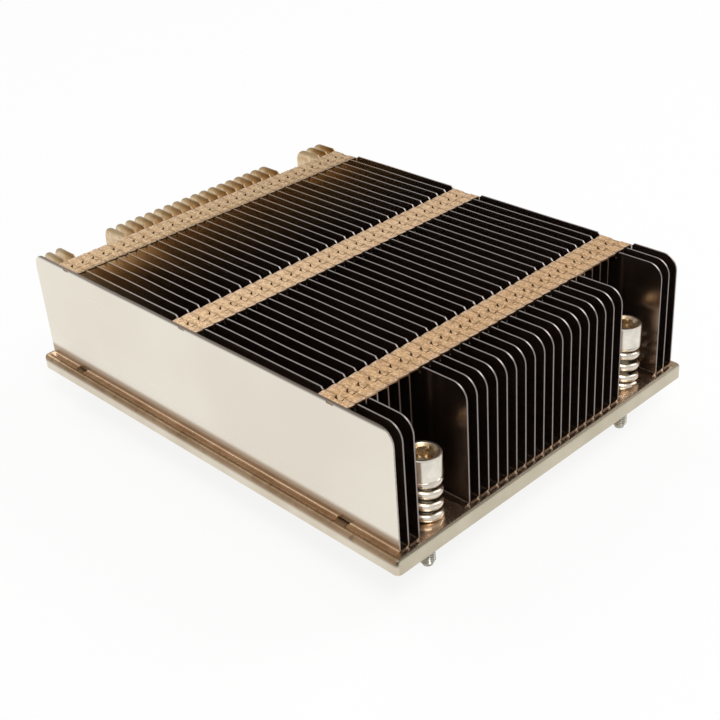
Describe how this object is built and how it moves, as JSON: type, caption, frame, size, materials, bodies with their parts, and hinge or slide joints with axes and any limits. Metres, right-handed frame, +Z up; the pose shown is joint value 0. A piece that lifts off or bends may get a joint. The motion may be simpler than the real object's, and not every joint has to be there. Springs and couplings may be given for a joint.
{
  "type": "passive server cpu heatsink",
  "caption": "Low passive server CPU heatsink: sheet fins hooked together by tabs and soldered on a flat plate, with spring-loaded captive screws at the corners.",
  "frame": {"origin": "centre of the base plate's underside, the face that lies on the processor", "axes": "+X across the fins, away from the plain end plate; +Y along the fins, towards the rear; +Z up, away from the processor"},
  "size_m": [0.081, 0.105, 0.0344],
  "materials": {
    "base_metal": "satin, slightly warm plated plate",
    "fin_metal": "bright rolled sheet",
    "screw_nickel": "bright nickel plate",
    "spring_nickel": "bright nickel plate",
    "clip_steel": "plain spring steel"
  },
  "bodies": {
    "heatsink": {"base_plate": "base_metal", "end_plate": "fin_metal", "fin_01": "fin_metal", "fin_02": "fin_metal", "fin_03": "fin_metal", "fin_04": "fin_metal", "fin_05": "fin_metal", "fin_06": "fin_metal", "fin_07": "fin_metal", "fin_08": "fin_metal", "fin_09": "fin_metal", "fin_10": "fin_metal", "fin_11": "fin_metal", "fin_12": "fin_metal", "fin_13": "fin_metal", "fin_14": "fin_metal", "fin_15": "fin_metal", "fin_16": "fin_metal", "fin_17": "fin_metal", "fin_18": "fin_metal", "fin_19": "fin_metal", "fin_20": "fin_metal", "fin_21": "fin_metal", "fin_22": "fin_metal", "fin_23": "fin_metal", "fin_24": "fin_metal", "fin_25": "fin_metal", "fin_26": "fin_metal", "fin_27": "fin_metal", "fin_28": "fin_metal", "fin_29": "fin_metal", "fin_30": "fin_metal", "fin_31": "fin_metal", "spring_front_left": "spring_nickel", "spring_front_right": "spring_nickel", "spring_rear_left": "spring_nickel", "spring_rear_right": "spring_nickel"},
    "lift_front_left": {"clip_front_left": "clip_steel"},
    "screw_front_left": {"screw_front_left": "screw_nickel"},
    "lift_front_right": {"clip_front_right": "clip_steel"},
    "screw_front_right": {"screw_front_right": "screw_nickel"},
    "lift_rear_left": {"clip_rear_left": "clip_steel"},
    "screw_rear_left": {"screw_rear_left": "screw_nickel"},
    "lift_rear_right": {"clip_rear_right": "clip_steel"},
    "screw_rear_right": {"screw_rear_right": "screw_nickel"}
  },
  "joints": [
    {"name": "press_front_left", "type": "slide", "parent": "heatsink", "child": "lift_front_left", "axis": [0, 0, -1], "range_m": [0, 0.0018], "stiffness_N_per_m": 1500, "springref_m": -0.002, "deforming": ["spring_front_left"]},
    {"name": "turn_front_left", "type": "hinge", "parent": "lift_front_left", "child": "screw_front_left", "pos_m": [-0.028, -0.047, 0.012], "axis": [0, 0, 1], "continuous": true},
    {"name": "press_front_right", "type": "slide", "parent": "heatsink", "child": "lift_front_right", "axis": [0, 0, -1], "range_m": [0, 0.0018], "stiffness_N_per_m": 1500, "springref_m": -0.002, "deforming": ["spring_front_right"]},
    {"name": "turn_front_right", "type": "hinge", "parent": "lift_front_right", "child": "screw_front_right", "pos_m": [0.028, -0.047, 0.012], "axis": [0, 0, 1], "continuous": true},
    {"name": "press_rear_left", "type": "slide", "parent": "heatsink", "child": "lift_rear_left", "axis": [0, 0, -1], "range_m": [0, 0.0018], "stiffness_N_per_m": 1500, "springref_m": -0.002, "deforming": ["spring_rear_left"]},
    {"name": "turn_rear_left", "type": "hinge", "parent": "lift_rear_left", "child": "screw_rear_left", "pos_m": [-0.028, 0.047, 0.012], "axis": [0, 0, 1], "continuous": true},
    {"name": "press_rear_right", "type": "slide", "parent": "heatsink", "child": "lift_rear_right", "axis": [0, 0, -1], "range_m": [0, 0.0018], "stiffness_N_per_m": 1500, "springref_m": -0.002, "deforming": ["spring_rear_right"]},
    {"name": "turn_rear_right", "type": "hinge", "parent": "lift_rear_right", "child": "screw_rear_right", "pos_m": [0.028, 0.047, 0.012], "axis": [0, 0, 1], "continuous": true}
  ]
}
